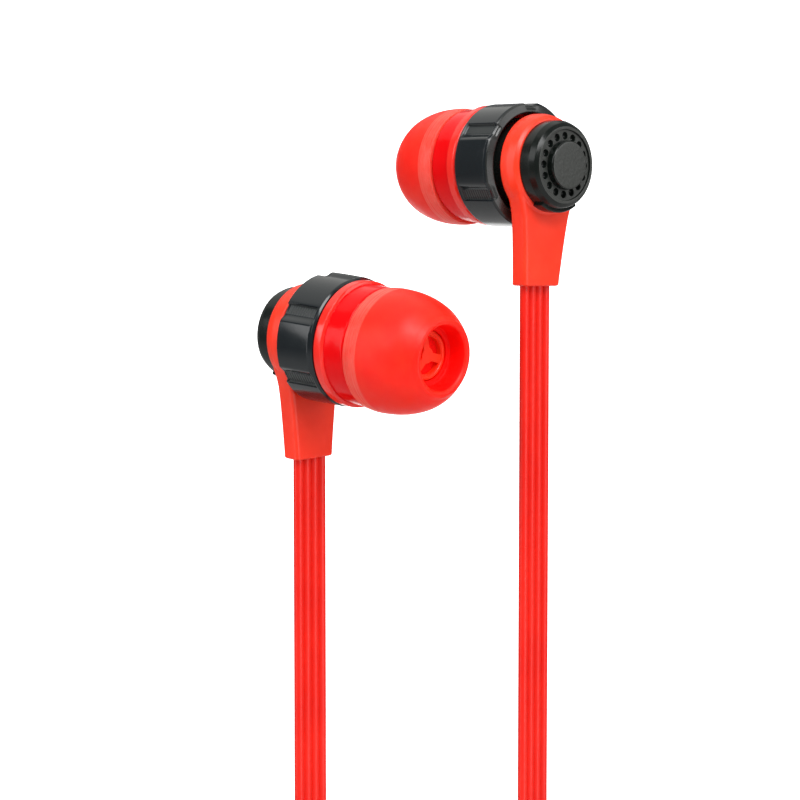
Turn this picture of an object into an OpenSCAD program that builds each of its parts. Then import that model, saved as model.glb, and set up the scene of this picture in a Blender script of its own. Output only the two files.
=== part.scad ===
// Wired in-ear earphones with a flat ribbed cable, hanging from the wearer's right ear.
// Each earpiece is drawn on its own barrel axis: X = 0 at the rear cap's rim, the ear tip
// towards +X and the stem down along -Z. The pair is then set in place at the end.
// Origin: the centre of the right ear tip's front opening. +X runs along the right barrel
// out of the tip, into the ear. +Z is up. All sizes are millimetres.

/* [Ear tip] */
// Widest diameter of the silicone tip
tip_d = 12.3; // [11:0.1:13.4]
// Length of the tip, skirt rim to front opening
tip_len = 7.85; // [7:0.05:9]
// Diameter of the tip's front opening
tip_bore_d = 6.2; // [5.8:0.1:6.4]
// Thickness of the tip's dome
tip_wall = 0.6; // [0.45:0.05:0.8]
// Outside diameter of the tip's inner sleeve
sleeve_d = 6.1; // [5.8:0.1:6.6]

/* [Front housing] */
// Diameter of the glossy barrel
barrel_d = 11.9; // [11.4:0.1:12.2]
// Length of the barrel in front of the lip
barrel_len = 2.75; // [2.4:0.05:3.4]
// Diameter of the thin lip against the collar
front_lip_d = 12.65; // [12.2:0.05:12.9]
// Width of the lip
front_lip_w = 1.15; // [0.8:0.05:1.4]
// Diameter of the nozzle's retaining bead
bead_d = 4.9; // [4.7:0.1:5]
// Diameter of the nozzle behind the bead
nozzle_d = 4.5; // [4.3:0.1:4.6]
// Length of the nozzle
nozzle_len = 5.65; // [5:0.05:6.4]
// Diameter of the sound bore
sound_d = 3.3; // [2.8:0.1:3.4]
// Diameter of the nozzle's mouth, round its guard
mouth_d = 4; // [3.8:0.1:4.1]

/* [Collar] */
// Diameter over the low panels
collar_d = 12.95; // [12.7:0.05:13.3]
// Height of the three raised lands
land_h = 0.24; // [0.1:0.02:0.4]
// Half the angle that a land spans, degrees
land_half = 28; // [25:1:35]
// Length of the collar
collar_len = 4.95; // [4.6:0.05:5.6]
// Wall of the collar under its low panels
collar_wall = 0.975; // [0.9:0.025:1.075]

/* [Rear housing] */
// Diameter of the disc
disc_d = 10.6; // [10.2:0.1:10.8]
// Thickness of the disc
disc_t = 2.2; // [2:0.05:2.6]
// Width of the open groove between the disc and the collar
groove_w = 0.7; // [0.5:0.05:1]
// Distance from the barrel axis to the stem's end
stem_drop = 12.43; // [11.5:0.05:14]
// Width of the stem at its end
stem_w = 4.85; // [4.6:0.05:5.4]
// Width of the stem at its neck
stem_neck_w = 6.6; // [6:0.1:7.4]
// Thickness of the stem
stem_t = 1.95; // [1.85:0.05:2.2]
// Forward lean of the stem, degrees
stem_lean = 3.5; // [0:0.5:5]

/* [Rear cap] */
// Diameter of the cap
cap_d = 9.3; // [8.9:0.1:9.6]
// Depth of the cap
cap_t = 2.1; // [1.9:0.05:2.4]
// Diameter of the flat rim
rim_d = 7.95; // [7.8:0.05:8.1]
// Outer diameter of the dimpled channel
channel_d = 7.35; // [7.2:0.05:7.5]
// Diameter of the centre disc
button_d = 5.05; // [4.8:0.05:5.2]
// Height of the centre disc above the rim
button_h = 0.6; // [0.3:0.05:0.9]
// Number of dimples
dimples = 16; // [12:1:18]
// Diameter of a dimple
dimple_d = 0.8; // [0.6:0.05:0.9]

/* [Driver] */
// Thickness of the magnet
magnet_t = 1.2; // [1:0.05:1.4]
// Radial thickness of the voice coil
coil_t = 0.3; // [0.26:0.02:0.34]
// Clearance of the voice coil to the iron, each side
coil_gap = 0.18; // [0.16:0.02:0.2]
// Travel of the diaphragm each way
travel = 0.2; // [0.1:0.05:0.25]

/* [Cable] */
// Width of the flat cable
cable_w = 4; // [3.6:0.1:4.2]
// Thickness of the flat cable
cable_t = 1; // [0.8:0.05:1.1]
// Length of the hank's straight runs
hank_run = 62; // [56:1:70]
// Radius of the main cable's innermost turn
main_r = 13.5; // [12.5:0.5:14.5]

/* [Plug] */
// Diameter of the contact pin
pin_d = 3.5; // [3.4:0.05:3.6]
// Length of the contact pin
pin_len = 14; // [13:0.5:15]
// Diameter of the grip
grip_d = 7.4; // [6.6:0.1:7.6]
// Length of the grip
grip_len = 22; // [18:1:24]
// Length of the strain relief
relief_len = 12; // [9:1:14]

/* [Hidden] */
$fn = 96;
fit = 0.05;              // radial clearance of a running fit
seat = 0.1;              // face clearance between stacked pieces
edge = 0.15;             // small edge break

// Stations along the barrel axis
disc_x = cap_t;
groove_x = disc_x + disc_t;
collar_x = groove_x + groove_w;
collar_end = collar_x + collar_len;
lip_x = collar_end + seat;
barrel_x = lip_x + front_lip_w;
shoulder_x = barrel_x + barrel_len;
nozzle_end = shoulder_x + nozzle_len;
skirt_x = shoulder_x - 0.1;
tip_front = skirt_x + tip_len;

// Collar
land_middles = [90, 210, 330];        // degrees from straight down, towards +Y

// What the collar's bore holds
collar_bore_d = collar_d - 2 * collar_wall;
front_shell = 0.5;
driver_d = collar_bore_d - 4 * fit - 2 * front_shell;

// Rear housing
neck_gap = 0.5;
neck_d = collar_bore_d - 2 * neck_gap;
flange_x = collar_x + 1.2;
flange_t = 1.15;
joint_x = flange_x + flange_t;        // where the rear and front shells meet
shell_t = 0.5;
rear_cavity_d = neck_d - 2 * shell_t;
rear_wall = 0.8;
peg_d = 2.9;
channel_w = 3;
channel_t = 1;
stem_mid = 3.19;                      // the stem's centre plane where it crosses the axis

// Rear cap
bevel_x = 0.6;
channel_deep = 0.3;
button_seat = 0.9;
dimple_ring = (channel_d + button_d) / 4;
dimple_deep = 0.8;
key_h = 0.5;
key_half = 33;

// Driver stack, from the back
board_x = joint_x - 0.6;
board_t = 0.5;
board_gap = 1.2;
board_d = rear_cavity_d - 2 * board_gap;
pad_t = 0.15;
pad_z = board_d / 2 - 0.55;           // the pads' lower ends, below the axis
yoke_x = board_x + board_t + seat;
yoke_base = 0.6;
magnet_x = yoke_x + yoke_base;
plate_x = magnet_x + magnet_t;
plate_t = 0.5;
frame_x = plate_x - 0.5;
frame_t = 0.5;
frame_wall = 0.35;
surround_d = driver_d - 2 * frame_wall - 0.1;
ledge_d = surround_d - 0.7;
vent_d = 0.4;
vent_land = 0.08;                     // wall each side of a vent hole in the frame's back
yoke_d = ledge_d - 2 * (vent_d + 2 * vent_land) + fit;
yoke_wall = 0.5;
gap_d = yoke_d - 2 * yoke_wall;       // inside of the yoke's cup
coil_d = gap_d - 2 * (coil_gap + coil_t);
plate_d = coil_d - 2 * coil_gap;
magnet_d = plate_d - 0.1;
cone_x = plate_x + plate_t + 0.85;    // the plane of the diaphragm's rim
coil_len = 1.65;
dome_h = 0.65;
film_t = 0.12;
cone_d = coil_d + 2 * coil_t + 0.1;
ledge_x = cone_x + 0.15;
cover_x = cone_x + film_t + dome_h + travel + 0.15;
cover_t = 0.3;
front_cavity_end = cover_x + cover_t + seat;
filter_t = 0.2;
guard_t = 0.5;
guard_x = nozzle_end - guard_t - 0.1;
spoke_w = 0.9;
hub_d = 1.5;

// Where the two earpieces hang
right_at = [-tip_front, 0, 0];
right_turn = [1.5, 0, 0];
left_at = [-4.2, 22.9, -16.8];
left_turn = [1.7, 4.9, 184.9];

// The free stretches of the two leads, stem to hank
RIGHT_LEAD = [
    [-17.6, 0.3, -12.1], [-17.6, 0.3, -16], [-17.6, 0.3, -24], [-17.6, 0.3, -34],
    [-17.6, 0.3, -44], [-17.6, 0.3, -54], [-17.6, 0.3, -64], [-17.6, 0.3, -70],
    [-17.8, 0.6, -76], [-18.4, 1.6, -82], [-19.4, 3, -88], [-20.7, 4.7, -94],
    [-21.8, 6.1, -100], [-22.4, 6.7, -104], [-22.5, 6.8, -108]];
LEFT_LEAD = [
    [-7.2, 22.3, -29.2], [-7.2, 22.3, -33], [-7.2, 22.3, -40], [-7.2, 22.3, -48],
    [-7.2, 22.3, -56], [-7.2, 22.3, -64], [-7.3, 22.3, -70], [-8, 22, -75],
    [-9.8, 21.2, -80], [-12.6, 20, -85], [-15.9, 18.4, -90], [-19.2, 17, -95],
    [-22.2, 16.2, -100], [-24.6, 15.9, -104], [-25.2, 15.8, -108]];

// The hank: long loops side by side, upright, tied at the middle
hank_x = -8;
hank_top = -108;
layer_y = [6.8, 11.3, 15.8];          // right lead, main cable, left lead
lead_r = [14.5, 17.2];                // the left lead has less left to wind
inner_x = 8.5;                        // the splitter's column, left of the hank's middle
loop_pitch = 1.75;
main_turns = 4;
waist = [6, 9];                       // how far the tie draws in the left and right runs
loop_steps = 24;
straight = cable_w;
near_rings = 14;                      // rings that count as a tube's own stretch

// Splitter, tie and plug
split_w = 10.4;
split_t = 3.2;
split_len = 14;
split_y = 2.25;                       // half the spacing of the two leads in it
split_top = hank_top - straight;
tie_h = 6;
tie_t = 0.8;
plug_x = 23;                          // the plug hangs this far left of the hank's middle
plug_top = hank_top - straight;
contact_gap = 0.6;
tip_contact = 3.5;
ring_contact = 2.4;
shoulder_d = 5.2;
shoulder_len = 1.6;

RED = [0.90, 0.13, 0.09];
CLEAR_RED = [0.85, 0.03, 0.05];
BLACK = [0.06, 0.07, 0.07];
STEEL = [0.72, 0.72, 0.74];
COPPER = [0.78, 0.42, 0.22];
GOLD = [0.86, 0.68, 0.30];
FILM = [0.85, 0.80, 0.66];
GREEN = [0.10, 0.35, 0.20];

// ---- shared shapes -------------------------------------------------------

// A solid turned about the barrel axis, from points of [station, radius]
module turned(points)
    rotate([0, 90, 0]) rotate_extrude() polygon([for (p = points) [p[1], p[0]]]);

// A part turn of a ring of the barrel: middle is the angle from straight down towards +Y
module sector(points, middle, half)
    rotate([0, 90, 0]) rotate([0, 0, middle - half])
        rotate_extrude(angle = 2 * half) polygon([for (p = points) [p[1], p[0]]]);

// A disc or tube along the barrel axis
module tube(x, len, d_out, d_in = 0) {
    difference() {
        translate([x, 0, 0]) rotate([0, 90, 0]) cylinder(h = len, d = d_out);
        if (d_in > 0)
            translate([x - 1, 0, 0]) rotate([0, 90, 0]) cylinder(h = len + 2, d = d_in);
    }
}

// Round holes through a plate, on a circle about the barrel axis
module holes(x, len, ring_r, d, count)
    for (i = [0 : count - 1])
        rotate([360 / count * i, 0, 0]) translate([x, 0, ring_r])
            rotate([0, 90, 0]) cylinder(h = len, d = d, $fn = 24);

// Puts what is drawn in the stem's own axes where the leaning stem is
module along_stem()
    translate([stem_mid, 0, 0]) rotate([0, -stem_lean, 0]) children();

// ---- ear tip -------------------------------------------------------------

module ear_tip() {
    tip_r = tip_d / 2;
    mid = skirt_x + 1.15;
    bead = 0.3;
    lip_x0 = tip_front - bead;
    lip_r = tip_bore_d / 2 + bead;
    dome = tip_front - mid + 1.6;
    last = acos((lip_r + bead * 0.9) / tip_r);
    inner_r = tip_r - tip_wall;
    inner = dome - 1.3 * tip_wall;
    hollow = nozzle_end - mid - 0.2;
    bore_r = bead_d / 2 + fit;
    color(RED) turned(concat(
        [[skirt_x, tip_r - 0.5], [skirt_x, tip_r - edge], [skirt_x + edge, tip_r - 0.03]],
        [for (i = [0 : 8]) [mid + dome * sin(last * i / 8), tip_r * cos(last * i / 8)]],
        [for (a = [45 : -22.5 : -90]) [lip_x0 + bead * cos(a), lip_r + bead * sin(a)]],
        [[nozzle_end + 0.3, tip_bore_d / 2 - 0.25], [nozzle_end + seat, tip_bore_d / 2 - 0.35],
         [nozzle_end + seat, bore_r],
         [skirt_x + 1.5, bore_r], [skirt_x + 1.5, sleeve_d / 2],
         [mid + hollow - 0.8, sleeve_d / 2], [mid + hollow, sleeve_d / 2 + 0.5]],
        [for (i = [6 : -1 : 0]) let (a = asin(hollow / inner) * i / 6)
            [mid + inner * sin(a), inner_r * cos(a)]]));
}

// ---- front housing -------------------------------------------------------

module front_housing() {
    r = barrel_d / 2;
    round_r = 1.2;
    lip_r = front_lip_d / 2;
    n_r = nozzle_d / 2;
    b_r = bead_d / 2;
    spigot_r = collar_bore_d / 2 - fit;
    color(CLEAR_RED) {
        difference() {
            turned(concat(
                [[joint_x + fit, 0], [joint_x + fit, spigot_r], [lip_x, spigot_r],
                 [lip_x, lip_r - edge], [lip_x + edge, lip_r],
                 [barrel_x - edge, lip_r], [barrel_x, lip_r - edge], [barrel_x, r]],
                [for (a = [90 : -15 : 0])
                    [shoulder_x - round_r + round_r * cos(a), r - round_r + round_r * sin(a)]],
                [[shoulder_x, n_r + 0.6], [shoulder_x + 0.6, n_r],
                 [nozzle_end - 1.3, n_r], [nozzle_end - 1.1, b_r],
                 [nozzle_end - 0.3, b_r], [nozzle_end, b_r - 0.3], [nozzle_end, 0]]));
            translate([joint_x - 1, 0, 0]) rotate([0, 90, 0])
                cylinder(h = front_cavity_end - joint_x + 1, d = driver_d + 2 * fit);
            translate([front_cavity_end - 1, 0, 0]) rotate([0, 90, 0])
                cylinder(h = nozzle_len + 6, d = sound_d);
            translate([guard_x - filter_t, 0, 0]) rotate([0, 90, 0])
                cylinder(h = nozzle_len, d = mouth_d);
        }
        nozzle_guard();
    }
}

// A hub and three spokes across the nozzle's mouth, one of them towards -Y and a little down
module nozzle_guard() {
    tube(guard_x, guard_t, hub_d);
    for (a = [105, 225, 345])
        rotate([a, 0, 0]) translate([guard_x, -spoke_w / 2, 0])
            cube([guard_t, spoke_w, mouth_d / 2 + 0.1]);
}

module nozzle_filter()
    color(STEEL) tube(guard_x - filter_t, filter_t, mouth_d - 2 * fit);

// ---- collar --------------------------------------------------------------

module collar() {
    r = collar_d / 2;
    bore_r = collar_bore_d / 2;
    land_x = collar_x + 0.6;
    land_end = collar_end - 0.4;
    slope = land_h + 0.05;
    color(BLACK) {
        turned([[collar_x, bore_r], [collar_x + 0.1, r - 0.4], [collar_x + 0.4, r],
                [collar_end - 0.2, r], [collar_end, r - 0.2], [collar_end, bore_r]]);
        for (middle = land_middles)
            sector([[land_x, r - 0.2], [land_x, r], [land_x + slope / 2, r + land_h],
                    [land_end - slope, r + land_h], [land_end, r], [land_end, r - 0.2]],
                   middle, land_half);
    }
}

// ---- rear housing --------------------------------------------------------

module rear_housing() {
    r = disc_d / 2;
    color(RED) difference() {
        union() {
            turned([[disc_x, 0], [disc_x, r - 0.3], [disc_x + 0.09, r - 0.09],
                    [disc_x + 0.3, r], [groove_x - edge, r], [groove_x, r - edge],
                    [groove_x, neck_d / 2], [flange_x, neck_d / 2],
                    [flange_x, collar_bore_d / 2 - fit],
                    [joint_x, collar_bore_d / 2 - fit], [joint_x, 0]]);
            along_stem() stem_outline();
        }
        translate([disc_x + rear_wall, 0, 0]) rotate([0, 90, 0])
            cylinder(h = joint_x, d = rear_cavity_d);
        translate([disc_x - 1, 0, 0]) rotate([0, 90, 0]) cylinder(h = 3, d = peg_d + 2 * fit);
        along_stem() translate([-channel_t / 2, -channel_w / 2, 1.4 - stem_drop])
            cube([channel_t, channel_w, stem_drop - 2.4]);
    }
}

// The stem seen from behind: tapered, with a hollow curve into the disc on each side
module stem_outline() {
    n = stem_neck_w / 2;
    e = stem_w / 2;
    half = [[e - 0.3, -stem_drop], [e, -stem_drop + 0.3], [n - 0.12, -5.9], [n, -5.1],
            [n + 0.3, -4.2], [n + 0.75, -3.3], [n + 1, -2.4]];
    translate([-stem_t / 2, 0, 0]) rotate([90, 0, 90]) linear_extrude(height = stem_t)
        polygon(concat(half, [for (i = [len(half) - 1 : -1 : 0]) [-half[i][0], half[i][1]]]));
}

// Holds the cable's end at the top of its socket in the stem
module cable_crimp()
    color(STEEL) along_stem()
        translate([-channel_t / 2 + fit, -channel_w / 2 + fit, 1.5 - stem_drop])
            cube([channel_t - 2 * fit, channel_w - 2 * fit, 1.6]);

// Two insulated wires, from the crimp up the stem and across to the board
module inner_wires() {
    d = 0.6;
    across_z = 0.55 - pad_z;
    across_x = stem_mid + 0.13;
    color(COPPER) for (side = [-1, 1]) {
        along_stem() translate([0, side * 0.8, 3.1 - stem_drop])
            cylinder(h = stem_drop - 3.1 + across_z, d = d, $fn = 8);
        translate([across_x - d / 2, side * 0.8, across_z]) rotate([0, 90, 0])
            cylinder(h = board_x - pad_t - across_x + d / 2, d = d + 0.1, $fn = 8);
    }
}

// ---- rear cap ------------------------------------------------------------

module rear_cap() {
    r = cap_d / 2;
    seat_r = button_d / 2 + fit;
    color(BLACK) {
        difference() {
            turned([[0, channel_d / 2], [0, rim_d / 2], [bevel_x - edge, r - edge],
                    [bevel_x + edge, r], [cap_t, r], [cap_t, 0], [channel_deep, 0],
                    [channel_deep, channel_d / 2]]);
            translate([-1, 0, 0]) rotate([0, 90, 0])
                cylinder(h = 1 + button_seat, r = seat_r);
            holes(channel_deep - 1, 1 + dimple_deep, dimple_ring, dimple_d, dimples);
        }
        sector([[bevel_x, r - 0.3], [bevel_x + edge, r + key_h], [cap_t, r + key_h],
                [cap_t, r - 0.3]], 0, key_half);
        tube(cap_t - 0.2, 1 + 0.2, peg_d);
    }
}

module cap_disc() {
    r = button_d / 2;
    color(BLACK) turned([[-button_h, 0], [-button_h, r - 0.2], [-button_h + 0.06, r - 0.06],
                         [-button_h + 0.2, r], [button_seat, r], [button_seat, 0]]);
}

// ---- driver --------------------------------------------------------------

module driver_frame()
    color(BLACK) difference() {
        union() {
            tube(frame_x, frame_t, driver_d, yoke_d + 2 * fit);
            tube(frame_x, cover_x - frame_x, driver_d, driver_d - 2 * frame_wall);
            tube(frame_x, ledge_x - frame_x, driver_d, ledge_d);
        }
        holes(frame_x - 1, 3, (yoke_d + ledge_d) / 4 + fit / 2, vent_d, 6);
    }

module yoke()
    color(STEEL) turned([[yoke_x, 0], [yoke_x, yoke_d / 2], [plate_x + plate_t, yoke_d / 2],
                         [plate_x + plate_t, gap_d / 2], [magnet_x, gap_d / 2], [magnet_x, 0]]);

module magnet()
    color(STEEL) tube(magnet_x, magnet_t, magnet_d);

module pole_plate()
    color(STEEL) tube(plate_x, plate_t, plate_d);

module voice_coil()
    color(COPPER) tube(cone_x - coil_len, coil_len, coil_d + 2 * coil_t, coil_d);

module diaphragm() {
    r = coil_d / 2;
    color(FILM) turned(concat(
        [[cone_x, r + coil_t + 0.05], [cone_x, r]],
        [for (i = [0 : 6]) [cone_x + dome_h * sin(15 * i), r * cos(15 * i)]],
        [for (i = [6 : -1 : 0])
            [cone_x + film_t + dome_h * sin(15 * i), (r + 0.02) * cos(15 * i)]],
        [[cone_x + film_t, r + coil_t + 0.05]]));
}

// The rolled edge between the diaphragm's rim and the driver's frame
module surround() {
    in_r = cone_d / 2 + 0.1;
    out_r = surround_d / 2;
    roll = (out_r - in_r - 0.3) / 2;
    mid = in_r + roll;
    color(FILM) turned(concat(
        [[ledge_x, out_r], [ledge_x, mid + roll]],
        [for (i = [0 : 6]) [ledge_x + 0.35 * sin(30 * i), mid + (roll - film_t) * cos(30 * i)]],
        [for (i = [6 : -1 : 0])
            [ledge_x + film_t + 0.35 * sin(30 * i), mid + roll * cos(30 * i)]],
        [[ledge_x + film_t, out_r]]));
}

module driver_cover()
    color(STEEL) difference() {
        tube(cover_x, cover_t, driver_d);
        holes(cover_x - 1, 3, 0, driver_d / 8, 1);
        holes(cover_x - 1, 3, driver_d / 4, driver_d / 8, 6);
    }

// A ring of damping paper over the vents in the frame's back
module damper()
    color(FILM) tube(frame_x - 0.15, 0.15, surround_d - 0.2, yoke_d + 4 * fit);

module solder_board()
    color(GREEN) {
        tube(board_x, board_t, board_d);
        for (side = [-1, 1])
            translate([board_x - pad_t, side * 0.8 - 0.5, -pad_z]) cube([pad_t + 0.05, 1, 1.1]);
    }

// ---- cables --------------------------------------------------------------

// Eight corners of the free cable's section, and six of the hank's: [across, through]
function full_section() = let (w = cable_w / 2, t = cable_t / 2)
    [[w, -0.6 * t], [w, 0.6 * t], [w - 0.3, t], [0.3 - w, t],
     [-w, 0.6 * t], [-w, -0.6 * t], [0.3 - w, -t], [w - 0.3, -t]];
function light_section() = let (w = cable_w / 2, t = cable_t / 2)
    [[w, 0], [w - 0.4, t], [0.4 - w, t], [-w, 0], [0.4 - w, -t], [w - 0.4, -t]];

function unit(v) = v / norm(v);
function heading(path, i) =
    unit(path[min(i + 1, len(path) - 1)] - path[max(i - 1, 0)]);

// One section set square to the path. The flat cable's width stays along Y.
function ring(path, i, section) =
    let (t = heading(path, i), thin = unit(cross([0, 1, 0], t)), wide = cross(t, thin))
    [for (s = section) path[i] + s[0] * wide + s[1] * thin];

module swept(path, section) {
    n = len(section);
    last = len(path) - 1;
    points = [for (i = [0 : last]) each ring(path, i, section)];
    sides = [for (i = [0 : last - 1]) for (j = [0 : n - 1])
        let (a = i * n + j, b = i * n + (j + 1) % n)
        each [[a, a + n, b], [b, a + n, b + n]]];
    start = [for (j = [1 : n - 2]) [0, j, j + 1]];
    end = [for (j = [1 : n - 2]) [last * n, last * n + j + 1, last * n + j]];
    polyhedron(points = points, faces = concat(sides, start, end), convexity = 10);
}

// How far the tie draws a run in towards the middle, part way down the run
function draw(side, f) = waist[side] * pow(sin(180 * f), 2);

// A point of a long loop of radius r, u turns from the top of its left run, going down
function loop_point(u, r, y) =
    let (v = u - floor(u), low = hank_top - hank_run)
    v < 1 / 6 ? [hank_x - r + draw(0, 6 * v), y, hank_top - hank_run * 6 * v] :
    v < 1 / 2 ? let (a = 540 * (v - 1 / 6)) [hank_x - r * cos(a), y, low - r * sin(a)] :
    v < 2 / 3 ? let (f = 6 * v - 3) [hank_x + r - draw(1, f), y, low + hank_run * f] :
    let (a = 540 * (v - 2 / 3)) [hank_x + r * cos(a), y, hank_top + r * sin(a)];

// A half turn over or under, from one column to another: side -1 is over, 1 is under
function fold(x0, x1, z, y0, y1, side, steps) =
    [for (i = [0 : steps])
        let (a = 180 * i / steps, mid = (x0 + x1) / 2, h = (x0 - x1) / 2, k = i / steps)
        [mid + h * cos(a), y0 + (y1 - y0) * k * k * (3 - 2 * k), z - side * abs(h) * sin(a)]];

// A lead's turn: down the left run, round and up, over, and down into the splitter
function lead_hank(r, y, y_in) =
    let (up = lead_r[0] - 0.5, n = loop_steps * 2 / 3,
         turn = [for (i = [0 : n]) let (k = max(0, min(1, (i - 4) / 8)))
             loop_point((i - 1e-6) / loop_steps + (i == 0 ? 1e-6 : 0), r + (up - r) * k, y)],
         over = fold(hank_x + up, hank_x - inner_x, hank_top, y, y_in, -1, 8))
    concat([turn[0], turn[0] - [0, 0, straight]], [for (i = [1 : n - 1]) turn[i]],
           over, [[hank_x - inner_x, y_in, split_top]]);

// The main cable: out of the splitter, under, then winding outwards, and over to the plug
function main_hank() =
    let (y = layer_y[1], low = hank_top - hank_run, out = split_top - split_len,
         column = [for (f = [0.4, 0.5, 0.6, 0.75, 0.9])
             [hank_x - inner_x + draw(0, f), y, hank_top - hank_run * f]],
         steps = loop_steps * (main_turns - 1) + 12,
         under = fold(hank_x - inner_x, hank_x + main_r, low, y, y, 1, 8),
         wound = [for (i = [13 : steps + 3])
             loop_point(i / loop_steps, main_r + loop_pitch * (i / loop_steps - 0.5), y)],
         r_end = main_r + loop_pitch * (main_turns - 0.875),
         over = fold(hank_x + r_end, hank_x - plug_x, hank_top, y, y, -1, 8))
    concat([[hank_x - inner_x, y, out], [hank_x - inner_x, y, out - straight / 2]], column,
           under, wound, over, [[hank_x - plug_x, y, plug_top]]);

MAIN = main_hank();
LEAD_R = lead_hank(lead_r[0], layer_y[0], layer_y[1] - split_y);
LEAD_L = lead_hank(lead_r[1], layer_y[2], layer_y[1] + split_y);

// Least clear distance of a tube to itself, leaving out its own near stretch
function self_gap(path, skip) =
    min([for (i = [0 : len(path) - skip - 1]) for (j = [i + skip : len(path) - 1])
        norm(path[i] - path[j])]) - cable_t;
function length_of(path, i = 1, sum = 0) =
    i >= len(path) ? sum : length_of(path, i + 1, sum + norm(path[i] - path[i - 1]));

echo(main_self_gap = self_gap(MAIN, near_rings));
echo(right_lead_self_gap = self_gap(LEAD_R, near_rings));
echo(left_lead_self_gap = self_gap(LEAD_L, near_rings));
echo(main_length = length_of(MAIN));
echo(right_lead_length = length_of(RIGHT_LEAD) + length_of(LEAD_R));
echo(left_lead_length = length_of(LEFT_LEAD) + length_of(LEAD_L));

module right_lead() color(RED) swept(RIGHT_LEAD, full_section());
module left_lead() color(RED) swept(LEFT_LEAD, full_section());
module right_lead_hank() color(RED) swept(LEAD_R, light_section());
module left_lead_hank() color(RED) swept(LEAD_L, light_section());
module main_cable_hank() color(RED) swept(MAIN, light_section());

// ---- splitter and tie ----------------------------------------------------

// One half of the splitter: side 1 is the front half, -1 the back
module splitter_half(side) {
    socket_w = 2 * split_y + cable_w + 2 * fit;
    socket_t = cable_t / 2 + fit;
    color(BLACK) translate([hank_x - inner_x, layer_y[1], split_top - split_len])
        difference() {
            translate([side > 0 ? 0 : -split_t / 2, 0, 0]) rotate([90, 0, 90])
                linear_extrude(height = split_t / 2)
                    polygon([[-3.2, 0], [3.2, 0], [split_w / 2, 5], [split_w / 2, split_len],
                             [-split_w / 2, split_len], [-split_w / 2, 5]]);
            translate([-socket_t, -socket_w / 2, split_len - 3])
                cube([2 * socket_t, socket_w, 4]);
            translate([-socket_t, -cable_w / 2 - fit, -1])
                cube([2 * socket_t, cable_w + 2 * fit, 4]);
            translate([-socket_t, -1.2, 2]) cube([2 * socket_t, 2.4, split_len - 4]);
        }
}
module splitter_front() splitter_half(1);
module splitter_back() splitter_half(-1);

// A flat band round all the runs, at the waist
module hank_tie() {
    clear = cable_t / 2 + 0.3;
    spread = waist * tie_h / hank_run;        // the runs splay a little by its edges
    x0 = -main_r - loop_pitch * (main_turns - 1.45) + waist[0] - spread[0] - clear;
    x1 = main_r + loop_pitch * (main_turns - 0.95) - waist[1] + spread[1] + clear;
    y0 = layer_y[0] - cable_w / 2 - 0.3;
    y1 = layer_y[2] + cable_w / 2 + 0.3;
    color(BLACK) translate([hank_x, 0, hank_top - hank_run / 2 - tie_h / 2])
        linear_extrude(height = tie_h) difference() {
            translate([x0 - tie_t, y0 - tie_t])
                square([x1 - x0 + 2 * tie_t, y1 - y0 + 2 * tie_t]);
            translate([x0, y0]) square([x1 - x0, y1 - y0]);
        }
}

// ---- plug ----------------------------------------------------------------

// Puts what is drawn about the Z axis, going down from zero, at the plug's place
module at_plug() translate([hank_x - plug_x, layer_y[1], plug_top]) children();

grip_z = -relief_len;
shoulder_z = grip_z - grip_len;
pin_z = shoulder_z - shoulder_len;
ring_z = -pin_len + tip_contact + contact_gap;         // the ring's lower end, from pin_z
sleeve_z = ring_z + ring_contact + contact_gap;        // the sleeve's lower end, from pin_z

module plug_relief()
    color(BLACK) at_plug() rotate_extrude() polygon([
        [0, grip_z], [grip_d / 2 - 0.6, grip_z], [grip_d / 2 - 0.9, grip_z + 1.5],
        [cable_w / 2 + 0.5, -1], [cable_w / 2 + 0.3, 0], [0, 0]]);

module plug_grip()
    color(BLACK) at_plug() rotate_extrude() polygon([
        [0, shoulder_z], [grip_d / 2 - 0.8, shoulder_z], [grip_d / 2, shoulder_z + 0.8],
        [grip_d / 2, grip_z - 0.4], [grip_d / 2 - 0.4, grip_z], [0, grip_z]]);

module plug_sleeve()
    color(GOLD) at_plug() {
        translate([0, 0, pin_z]) cylinder(h = shoulder_len, d = shoulder_d);
        translate([0, 0, pin_z + sleeve_z]) cylinder(h = -sleeve_z, d = pin_d);
    }

module plug_ring()
    color(GOLD) at_plug()
        translate([0, 0, pin_z + ring_z]) cylinder(h = ring_contact, d = pin_d);

module plug_tip() {
    r = pin_d / 2;
    color(GOLD) at_plug() translate([0, 0, pin_z - pin_len]) rotate_extrude() polygon([
        [0, 0], [r - 1.15, 0], [r - 0.25, 1.3], [r - 0.2, 1.7], [r - 0.65, 2.5],
        [r - 0.65, 2.7], [r, 3.1], [r, tip_contact], [0, tip_contact]]);
}

module plug_insulators()
    color(BLACK) at_plug()
        for (z = [ring_z - contact_gap, ring_z + ring_contact])
            translate([0, 0, pin_z + z]) cylinder(h = contact_gap, d = pin_d);

// ---- the pair, in place --------------------------------------------------

module on_right() translate(right_at) rotate(right_turn) children();
module on_left() translate(left_at) rotate(left_turn) mirror([0, 1, 0]) children();

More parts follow.
